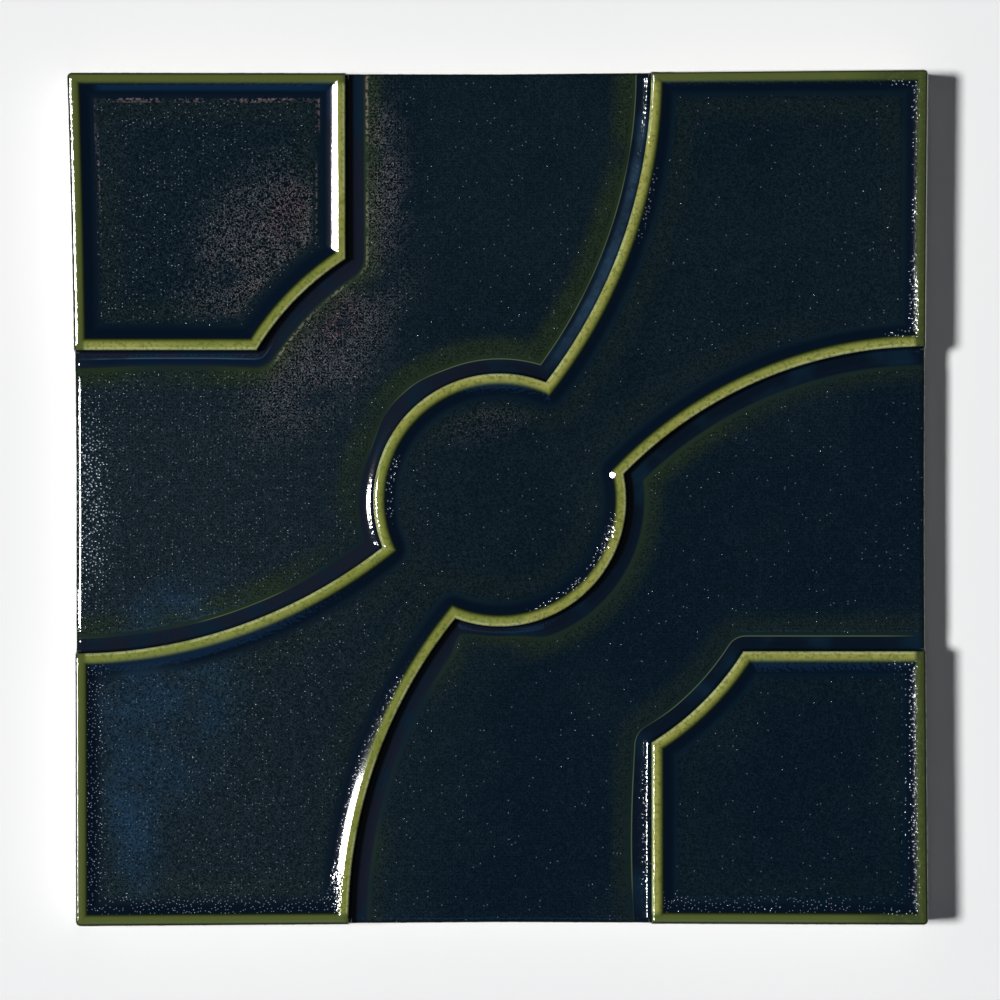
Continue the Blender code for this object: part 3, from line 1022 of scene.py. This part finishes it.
dimples, given, made = new_group(
    "dimples",
    "ShaderNodeTree",
    [VECTOR, *numbers(Pitch=0.6 * MM, Depth=0.02 * MM)],
    numbers(Height=None),
)
frequency = math_node("DIVIDE", 1.0, given["Pitch"])
soft = {"Detail": 1.0, "Roughness": 0.4}
fine = texture("ShaderNodeTexNoise", given["Vector"], frequency, **soft)
socket_into(made["Height"], times(fine.outputs[0], given["Depth"]))

pits, given, made = new_group(
    "pits",
    "ShaderNodeTree",
    [VECTOR, *numbers(Pitch=1.2 * MM, Share=0.3, Radius=0.16 * MM, Depth=0.04 * MM)],
    numbers(Height=None, Mask=None),
)
frequency = math_node("DIVIDE", 1.0, given["Pitch"])
spots = texture("ShaderNodeTexVoronoi", given["Vector"], frequency)
spots.voronoi_dimensions = "2D"
random_part = pits.nodes.new("ShaderNodeSeparateColor")
socket_into(random_part.inputs[0], spots.outputs["Color"])
chosen = math_node("LESS_THAN", random_part.outputs[0], given["Share"])
real_distance = times(spots.outputs["Distance"], given["Pitch"])
radius_share = math_node("DIVIDE", real_distance, given["Radius"])
pit_mask = times(fading(radius_share, 0.0, 1.0), chosen)
socket_into(made["Mask"], pit_mask)
socket_into(made["Height"], times(pit_mask, given["Depth"], -1.0))
print("shader groups:", soft_band.name, mottle.name, dimples.name, pits.name)

# %% [markdown]
# ## The glaze
#
# The finish is one gloss coat, so a Principled shader with a low roughness does it. Its
# colour is layered from the deepest place upwards: teal field, olive halo where the glaze
# thins towards the edge of a field, navy pool beside the rim, lime rim, cream arris.

# %% Colours of the glaze and the clay, as linear values
TEAL = (0.0066, 0.0158, 0.0225, 1)
DEEP_TEAL = (0.001, 0.0084, 0.0158, 1)
FAR_TEAL = (0.0, 0.0072, 0.0165, 1)
DARK_GROUND = (0.0004, 0.0024, 0.0038, 1)
OLIVE = (0.0135, 0.025, 0.0115, 1)
NAVY = (0.0004, 0.0042, 0.012, 1)
GROOVE_NAVY = (0.0012, 0.0052, 0.0125, 1)
GROOVE_GREY = (0.006, 0.0088, 0.018, 1)
GROOVE_BLUE = (0.0022, 0.0115, 0.024, 1)
BLUE_LAMP_REFLECTION = (0.0022, 0.0155, 0.042, 1)
SWEEP_BLUE = (0.0135, 0.034, 0.062, 1)
FOOT_BLUE_REFLECTION = (0.0004, 0.0075, 0.0225, 1)
FOOT_GLINT_PALE = (0.036, 0.064, 0.09, 1)
GRAIN_SHEEN_GREY = (0.14, 0.18, 0.21, 1)
SPECK_AND_GLINT_BLUE = (0.3, 0.34, 0.4, 1)
BLUE_REFLECTION = (0.0095, 0.034, 0.068, 1)
GLINT_GREY = (0.2, 0.2, 0.21, 1)
ROSE_GLINT = (0.32, 0.19, 0.2, 1)
DASH_GLINT_PINK = (0.26, 0.19, 0.19, 1)
DASH_GLINT_SAND = (0.24, 0.22, 0.16, 1)
INNER_LIME = (0.128, 0.152, 0.028, 1)
LIME = (0.195, 0.218, 0.042, 1)
PALE_LIME = (0.285, 0.285, 0.07, 1)
LEAF_GREEN = (0.065, 0.1, 0.018, 1)
CREAM = (0.35, 0.38, 0.16, 1)
EDGE_GREEN = (0.078, 0.098, 0.024, 1)
SHADED_EDGE_GREEN = (0.045, 0.06, 0.018, 1)
BREAK_AND_SHADE_BLACK = (0.0025, 0.007, 0.003, 1)
CREASE_HIGHLIGHT = (0.09, 0.12, 0.065, 1)
BARE_CLAY = (0.72, 0.7, 0.66, 1)
CLAY_SHADE = (0.6, 0.57, 0.52, 1)

# %% Bands beside the rim, in millimetres from its middle: start, end, fade in, fade out
RAISED_FIELD = (4.0, 90.0, 0.7)
SUNKEN_FIELD = (-90.0, -5.2, 0.7)
RAISED_HALO = (4.9, 6.0, 1.6, 3.5)
SUNKEN_HALO = (-5.2, -4.3, 3.6, 0.5)
LOW_REFLECTION_BAND = (2.2, 5.0, 0.9)
FIELD_GLINTS = (-60.0, -4.9, 0.7)
TOP_DASHES = (3.7, 3.95, 0.14)
SIDE_DASHES = (4.2, 4.35, 0.14)
CREASE_DASHES = (-4.75, -4.5, 0.2)
POOL = (1.2, 2.3, 0.3)
NEAR_POOL = (1.4, 3.8, 0.4)
TOP_SLOPE = (1.35, 1.9, 0.25, 0.8)
GROOVE = (-3.7, -0.95, 0.45, 0.1)
SHEEN = (-2.5, -1.3, 1.0, 0.3)
FOOT_REFLECTION_BAND = (-3.5, -2.8, 0.2, 0.3)
FOOT_GLINT = (-2.58, -2.48, 0.14)
CREASE = (-4.06, -4.0, 0.13)
RIM = (-0.84, 0.5, 0.04, 0.72)
RIM_ARRIS = (-0.82, -0.5, 0.05, 0.25)
INNER_BREAK = (0.9, 1.15, 0.2, 0.25)
OUTER_BREAK = (-1.05, -0.86, 0.12, 0.02)
EDGE_RIM = (-0.1, 1.4, 0.1, 1.0)
EDGE_SHADE_LINE = (-0.1, 0.12, 0.1, 0.5)
print("width of the lime band, mm:", round(RIM[1] - RIM[0], 2))


# %% Helpers that layer colours in a material
def new_material(name):
    """A material with its Principled shader, its node tree and Object coordinates."""
    material = bpy.data.materials.new(name)
    material.use_nodes = True
    tree = material.node_tree
    coordinates = tree.nodes.new("ShaderNodeTexCoord").outputs["Object"]
    return material, tree, tree.nodes["Principled BSDF"], coordinates


def blended(factor, below, above):
    """One colour laid over another."""
    node = new_node("ShaderNodeMix", factor, below, above)
    node.data_type = "RGBA"
    for name, value in zip(("Factor", "A", "B"), (factor, below, above)):
        socket_into(node.inputs[name], value)
    return node.outputs["Result"]


def measured(tree, name, unit=1.0):
    """A stored number of the tile, in its unit."""
    node = tree.nodes.new("ShaderNodeAttribute")
    node.attribute_name = name
    return math_node("DIVIDE", node.outputs["Fac"], unit)


def band(distance, start, end, fade_in, fade_out=None):
    """A soft band of a distance, in millimetres."""
    fade_out = fade_in if fade_out is None else fade_out
    values = {"Distance": distance, "From": start, "To": end}
    return place_group(soft_band, Fade_In=fade_in, Fade_Out=fade_out, **values)["Mask"]


def bump(height):
    """A Bump node whose height is in metres."""
    node = new_node("ShaderNodeBump", height)
    node.inputs["Strength"].default_value = 1.0
    node.inputs["Distance"].default_value = 1.0
    socket_into(node.inputs["Height"], height)
    return node.outputs["Normal"]


def cloud_mask(vector, size, low, high, detail=2.0):
    """A cloudy mask from the shared mottle group."""
    values = {"Vector": vector, "Size": size, "Low": low, "High": high, "Detail": detail}
    return place_group(mottle, **values)["Mask"]


def cloud_value(vector, size):
    """The plain clouds of the mottle group, for several masks with limits of their own."""
    return place_group(mottle, Vector=vector, Size=size)["Value"]


# %% The glaze's ground: teal fields, olive halos, blue haze and dark pools
glaze, tree, shader, place = new_material("dark_teal_glaze")
gap_mm = measured(tree, "glaze_distance", MM)
edge_mm = measured(tree, "edge_distance", MM)
narrow = measured(tree, "narrow_groove")
spot = plan_place(place)
plan_x, plan_y = spot
fields = strongest(band(gap_mm, *RAISED_FIELD), band(gap_mm, *SUNKEN_FIELD))
broad = cloud_value(place, 22 * MM)
medium = cloud_value(place, 7 * MM)
fine_cloud = cloud_mask(place, 1.6 * MM, 0.35, 0.65)
# The fields are lighter towards the left, a painted sheen of the key lamp, and darker towards the
# top, with a random cloud
depth = strongest(eased(plan_x, -55.0, 0.0), eased(plan_y, 8.0, 34.0))
depth = times(depth, eased(broad, 0.4, 0.62, 0.7, 1.0))
to_corner = eased(along_line(spot, (0, 0), -45.0), 5.0, 40.0)
colour = blended(depth, TEAL, blended(to_corner, DEEP_TEAL, FAR_TEAL))
halo = strongest(times(band(gap_mm, *RAISED_HALO), 0.2),
                 band(gap_mm, *SUNKEN_HALO))
halo = times(halo, eased(broad, 0.28, 0.55),
             math_node("MULTIPLY_ADD", to_corner, -0.6, 1.0))
colour = blended(halo, colour, OLIVE)
# A painted blue reflection of a window, in the lower-left fields and beside their rims
low_haze = times(measured(tree, "low_haze"), band(gap_mm, *LOW_REFLECTION_BAND))
haze = strongest(times(measured(tree, "haze"), fields), low_haze)
haze = times(haze, eased(medium, 0.15, 0.7))
colour = blended(haze, colour, BLUE_REFLECTION)
print("nodes of the ground:", len(tree.nodes))

# %% Grey and rose strokes, painted glints of the key lamp in the dimpled glaze, on a ground that is darker between them
worms = texture("ShaderNodeTexNoise", place, 1 / (0.56 * MM), Detail=2.0, Roughness=0.6)
worms = worms.outputs[0]
off_middle = math_node("ABSOLUTE", math_node("SUBTRACT", worms, 0.5))
stroke = fading(off_middle, 0.0, 0.03)
# The strokes of the upper left are painted glints: the key lamp caught by the orange peel,
# painted by place
cell_bloom = times(measured(tree, "cell_bloom"), eased(gap_mm, 4.6, 5.8))
field_bloom = times(measured(tree, "field_bloom"), band(gap_mm, *FIELD_GLINTS), 0.8)
painted_glints = times(math_node("ADD", cell_bloom, field_bloom),
                 eased(medium, 0.22, 0.58))
dark_share = math_node("MULTIPLY_ADD", painted_glints, 0.3, 0.62)
dark_share = times(dark_share, fields, eased(off_middle, 0.015, 0.11))
colour = blended(dark_share, colour, DARK_GROUND)
# Grey strokes of grain on all fields, stronger towards the left as a painted sheen of the key
# lamp
grain = times(eased(plan_x, -62.0, 10.0, 0.14, 0.06), fields,
              math_node("MULTIPLY_ADD", fine_cloud, 0.5, 0.5))
colour = blended(times(stroke, grain), colour, GRAIN_SHEEN_GREY)
rosy = math_node("MULTIPLY_ADD", measured(tree, "rosy"), 0.7, times(fine_cloud, 0.3))
glint_colour = blended(rosy, GLINT_GREY, ROSE_GLINT)
colour = blended(times(painted_glints, stroke, 0.85), colour, glint_colour)
print("nodes with the crystals:", len(tree.nodes))

# %% Short pale dashes on the creases near the high cell: painted glints of the key lamp
near_high_cell = times(fading(plan_x, -24.0, -20.0), eased(plan_y, 14.0, 24.0))
glint_dash_place = strongest(
    times(band(gap_mm, *TOP_DASHES), eased(plan_y, 58.0, 66.0)),
    times(band(gap_mm, *SIDE_DASHES), 0.5, eased(plan_y, 42.0, 50.0)),
    times(band(gap_mm, *CREASE_DASHES), 0.9, fading(narrow, 0.1, 0.3),
          eased(plan_x, -47.0, -42.0)),
)
glint_dashes = times(near_high_cell, glint_dash_place, eased(worms, 0.46, 0.56),
               eased(medium, 0.35, 0.6), 0.65)
to_side = eased(along_line(spot, (-30.0, 60.0), -45.0), -4.0, 4.0)
colour = blended(glint_dashes, colour, blended(to_side, DASH_GLINT_PINK, DASH_GLINT_SAND))
print("nodes with the dashes:", len(tree.nodes))

# %% Pools beside the rim, grooves below it, painted blue reflections in some, and a painted highlight on the crease where a groove ends
pool_fade = eased(plan_x, -30.0, -12.0, 2.6, 1.3)
pool = times(band(gap_mm, *POOL, pool_fade), without(low_haze))
colour = blended(pool, colour, NAVY)
# A painted blue reflection of the near-side lamp, on the slopes inside the high cell's top rim
top_slope_reflection = times(band(gap_mm, *TOP_SLOPE), eased(plan_y, 66.0, 68.0),
                  eased(plan_x, -72.5, -70.0), fading(plan_x, -34.0, -26.0))
colour = blended(top_slope_reflection, colour, BLUE_LAMP_REFLECTION)
groove = blended(eased(plan_x, -30.0, 25.0), GROOVE_GREY, GROOVE_NAVY)
groove = blended(eased(medium, 0.45, 0.7), groove, GROOVE_BLUE)
sweep_sheen = times(measured(tree, "sweep_sheen"), band(gap_mm, *SHEEN),
                    eased(medium, 0.3, 0.6, 0.35, 0.95),
                    eased(fine_cloud, 0.0, 1.0, 0.65, 1.0))
groove = blended(sweep_sheen, groove, SWEEP_BLUE)
# Below the high cell: a painted blue reflection of the near-side lamp in the groove, and a
# painted pale glint line at its foot
cell_foot = measured(tree, "cell_foot")
foot_reflection = times(cell_foot, band(gap_mm, *FOOT_REFLECTION_BAND))
groove = blended(foot_reflection, groove, FOOT_BLUE_REFLECTION)
foot_glint_line = times(cell_foot, band(gap_mm, *FOOT_GLINT),
                  eased(medium, 0.35, 0.55, 0.3, 1.0))
groove = blended(foot_glint_line, groove, FOOT_GLINT_PALE)
colour = blended(band(gap_mm, *GROOVE), colour, groove)
# The crease's pale line is a painted highlight, drawn only in the narrow grooves beside walls
# that face the key lamp
crease = times(band(gap_mm, *CREASE), eased(broad, 0.4, 0.6),
               eased(narrow, 0.4, 0.6), 0.85)
colour = blended(crease, colour, CREASE_HIGHLIGHT)
print("nodes with the pools and grooves:", len(tree.nodes))

# %% The rim: lime over the thin glaze, paler on its outer arris, black where it breaks, with painted shade on the right and outer edges
pale_share = strongest(eased(plan_x, 0.0, 30.0, 0.0, 0.8),
                       eased(broad, 0.35, 0.65))
lime = blended(pale_share, LIME, PALE_LIME)
lime = blended(times(fine_cloud, 0.3), lime, INNER_LIME)
lime = blended(eased(gap_mm, 0.0, 0.9), lime, INNER_LIME)
arris = times(band(gap_mm, *RIM_ARRIS), eased(medium, 0.3, 0.6))
lime = blended(arris, lime, CREAM)
# The edge rims darken towards the right: painted shade where they face away from the key lamp
edge_green_and_shade = blended(eased(plan_x, 60.0, 70.0), EDGE_GREEN, SHADED_EDGE_GREEN)
lime = blended(band(edge_mm, *EDGE_RIM), lime, edge_green_and_shade)
lime = blended(times(eased(worms, 0.5, 0.36), 0.55), lime, LEAF_GREEN)
black = strongest(band(gap_mm, *INNER_BREAK), band(gap_mm, *OUTER_BREAK))
colour = blended(black, colour, BREAK_AND_SHADE_BLACK)
colour = blended(band(gap_mm, *RIM), colour, lime)
# A black line along the tile's outer edge: painted shade on the rolled edge
colour = blended(band(edge_mm, *EDGE_SHADE_LINE), colour, BREAK_AND_SHADE_BLACK)
print("nodes with the rim:", len(tree.nodes))

# %% Clay that shows as a thin pale line on the tile's arris, widest in the far top corner
far_corner = times(eased(plan_x, 24.0, 34.0), eased(plan_y, 22.0, 30.0))
bare_edge = eased(far_corner, 0.0, 1.0, 0.03, 0.13)
bare = fading(math_node("SUBTRACT", edge_mm, bare_edge), 0.0, 0.06)
bare = times(bare, strongest(far_corner, eased(fine_cloud, 0.0, 0.4)))
colour = blended(bare, colour, BARE_CLAY)
socket_into(shader.inputs["Roughness"], math_node("MULTIPLY_ADD", bare, 0.6, 0.07))
print("nodes with the bare arris:", len(tree.nodes))

# %% Pinholes and pale specks, thickest on the left, in the near pools and in bead rows: partly painted glints
SPECK_PITCH = 0.62 * MM
low_pools = times(band(gap_mm, *NEAR_POOL), eased(plan_y, 20.0, -20.0),
                  fading(edge_mm, 5.5, 6.5), eased(plan_x, 60.0, 68.0, 1.0, 0.4))
left_sheen = times(measured(tree, "left_sheen"), fields)
beads = measured(tree, "beads")
dense = strongest(times(low_pools, 0.85), left_sheen, beads)
speck_share = eased(plan_x, -62.0, 0.0, 0.15, 0.025)
speck_share = math_node("MULTIPLY_ADD", dense, 0.75, speck_share)
speck_radius = eased(strongest(beads, left_sheen), 0.0, 1.0, 0.12 * MM, 0.2 * MM)
speck_depth = eased(beads, 0.0, 1.0, 0.045 * MM, 0.06 * MM)
speck = place_group(pits, Vector=place, Pitch=SPECK_PITCH, Share=speck_share,
                    Radius=speck_radius, Depth=speck_depth)
speck_place = strongest(fields, low_pools, beads)
# The specks' pale colour is partly a painted glint of the key lamp, densest on the lit left and
# in the bead rows
colour = blended(times(speck["Mask"], speck_place, 0.75), colour, SPECK_AND_GLINT_BLUE)
socket_into(shader.inputs["Base Color"], colour)
shader.inputs["IOR"].default_value = 1.5
shader.inputs["Metallic"].default_value = 0.0
print("nodes with the specks:", len(tree.nodes))

# %% Dimples on the fields, calmer glaze on the steep sides, and one bubble beside the hub
DIMPLE_PITCH = 0.52 * MM
DIMPLE_DEPTH = 0.065 * MM
BLISTER_TOP = 10.85 * MM
BLISTER_EDGE = (0.5 * MM, 0.65 * MM)
BLISTER_SLOPE = 0.155 * MM
dimple_depth = times(without(measured(tree, "calm")), DIMPLE_DEPTH)
dimple = place_group(dimples, Vector=place, Pitch=DIMPLE_PITCH, Depth=dimple_depth)["Height"]
surface = math_node("ADD", dimple, times(speck["Height"], speck_place))
blister_gap = tree.nodes.new("ShaderNodeVectorMath")
blister_gap.operation = "DISTANCE"
socket_into(blister_gap.inputs[0], place)
blister_gap.inputs[1].default_value = (*(Vector(BLISTER) * MM - MIDDLE.to_2d()), BLISTER_TOP)
blister = times(fading(blister_gap.outputs["Value"], *BLISTER_EDGE),
                math_node("SUBTRACT", plan_x, BLISTER[0]), BLISTER_SLOPE)
socket_into(shader.inputs["Normal"], bump(math_node("ADD", surface, blister)))
print("glaze nodes:", len(tree.nodes))

# %% [markdown]
# ## The bare clay of the sides and the back
#
# The sides show pale clay, with a dusty, matt grain. A high roughness and the same mottle
# and dimple groups, with other values, give it.

# %% Clay
clay, tree, shader, place = new_material("bare_clay")
shade = cloud_mask(place, 4 * MM, 0.35, 0.65, 3.0)
socket_into(shader.inputs["Base Color"], blended(shade, CLAY_SHADE, BARE_CLAY))
shader.inputs["Roughness"].default_value = 0.85
grain = place_group(dimples, Vector=place, Pitch=0.35 * MM, Depth=0.03 * MM)["Height"]
socket_into(shader.inputs["Normal"], bump(grain))
print("clay nodes:", len(tree.nodes))

# %% [markdown]
# ## From the tree to a plain mesh
#
# The real tile is lifted out of the press once and never changes again. The tree could
# stay live as a modifier, but a plain mesh is what other programs read, so the raised face
# is evaluated once and takes the flat mesh's place.

# %% Raise the relief and keep the result as a plain mesh
SHARP_FROM = math.radians(38)
raising = tile.modifiers.new("raise_the_relief", "NODES")
raising.node_group = relief
values = {"Rim Line": rim_line, "Glaze": glaze, "Clay": clay}
for item in relief.interface.items_tree:
    if item.item_type == "SOCKET" and item.in_out == "INPUT" and item.name in values:
        raising[item.identifier] = values[item.name]
bpy.context.view_layer.update()
graph = bpy.context.evaluated_depsgraph_get()
raised_data = bpy.data.meshes.new_from_object(tile.evaluated_get(graph), depsgraph=graph)
tile.modifiers.remove(raising)
tile.data = raised_data
bpy.data.meshes.remove(tile_data)
bpy.data.objects.remove(rim_line)
raised_data.shade_smooth()
raised_data.set_sharp_from_angle(angle=SHARP_FROM)
heights = [vertex.co.z / MM for vertex in raised_data.vertices]
print("height, mm:", round(min(heights), 3), round(max(heights), 3))
print("triangles:", sum(len(p.vertices) - 2 for p in raised_data.polygons))
print("materials:", [m.name for m in raised_data.materials])

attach(tile, "root")
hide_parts("tile_body")

# %% [markdown]
# ## Floor, light and camera
#
# The tile lies on pale paper. One round lamp from the left makes the hard shadow and the
# white lines on every slope that leans left, a dim cool lamp from the near side makes the
# blue lines on the slopes that lean towards it, a faint wide lamp overhead is mirrored in
# the flat glaze, and the room gives a little light.

# %% Floor
FLOOR_REACH = 2.0
floor_mesh = bpy.data.meshes.new("floor")
corners = [(FLOOR_REACH * x, FLOOR_REACH * y, 0) for x, y in ((-1, -1), (1, -1), (1, 1), (-1, 1))]
floor_mesh.from_pydata(corners, [], [(0, 1, 2, 3)])
floor = bpy.data.objects.new("floor", floor_mesh)
bpy.context.scene.collection.objects.link(floor)
paper, tree, shader, place = new_material("pale_paper")
shader.inputs["Base Color"].default_value = (0.8, 0.8, 0.8, 1)
shader.inputs["Roughness"].default_value = 0.9
shader.inputs["Specular IOR Level"].default_value = 0.0
floor_mesh.materials.append(paper)
print("floor, m:", 2 * FLOOR_REACH)


# %% Lamps
def lamp(name, azimuth, off_vertical, distance, size, power, tint=(1, 1, 1)):
    """A round lamp that looks at the tile. Azimuth 0 is +X and 90 is +Y, in degrees."""
    light = bpy.data.lights.new(name, "AREA")
    light.shape = "DISK"
    light.size = size
    light.energy = power
    light.color = tint
    holder = bpy.data.objects.new(name, light)
    across, up = math.radians(azimuth), math.radians(off_vertical)
    reach = distance * math.sin(up)
    place = Vector((reach * math.cos(across), reach * math.sin(across), distance * math.cos(up)))
    holder.location = place
    holder.rotation_euler = place.to_track_quat("Z", "Y").to_euler()
    bpy.context.scene.collection.objects.link(holder)
    return holder


lamp("key", 180, 31.8, 8.0, 1.36, 755.0)
lamp("near_side", -90, 29, 1.2, 0.36, 0.19, (0.12, 0.4, 1.0))
lamp("overhead", 0, 0, 3.0, 1.2, 0.05)
world = bpy.data.worlds.new("room")
world.use_nodes = True
world.node_tree.nodes["Background"].inputs["Color"].default_value = (0.9, 0.95, 1.0, 1)
world.node_tree.nodes["Background"].inputs["Strength"].default_value = 0.05
bpy.context.scene.world = world
print("lamps:", [light.name for light in bpy.data.lights])

# %% Camera, straight above
CAMERA_DISTANCE = 0.95
CAMERA_PLACE = (-0.053 * MM, -0.318 * MM)
PIXELS_PER_MM = 5.664
IMAGE_WIDTH = 1000
SENSOR_WIDTH = 36
camera_data = bpy.data.cameras.new("camera")
camera_data.sensor_width = SENSOR_WIDTH
camera_data.lens = PIXELS_PER_MM * SENSOR_WIDTH * CAMERA_DISTANCE / MM / IMAGE_WIDTH
camera = bpy.data.objects.new("camera", camera_data)
camera.location = (*(Vector(CAMERA_PLACE) - MIDDLE.to_2d()), RIM_TOP + CAMERA_DISTANCE)
bpy.context.scene.collection.objects.link(camera)
bpy.context.scene.camera = camera
bpy.context.scene.view_settings.view_transform = "Standard"
print("lens:", round(camera_data.lens, 1))
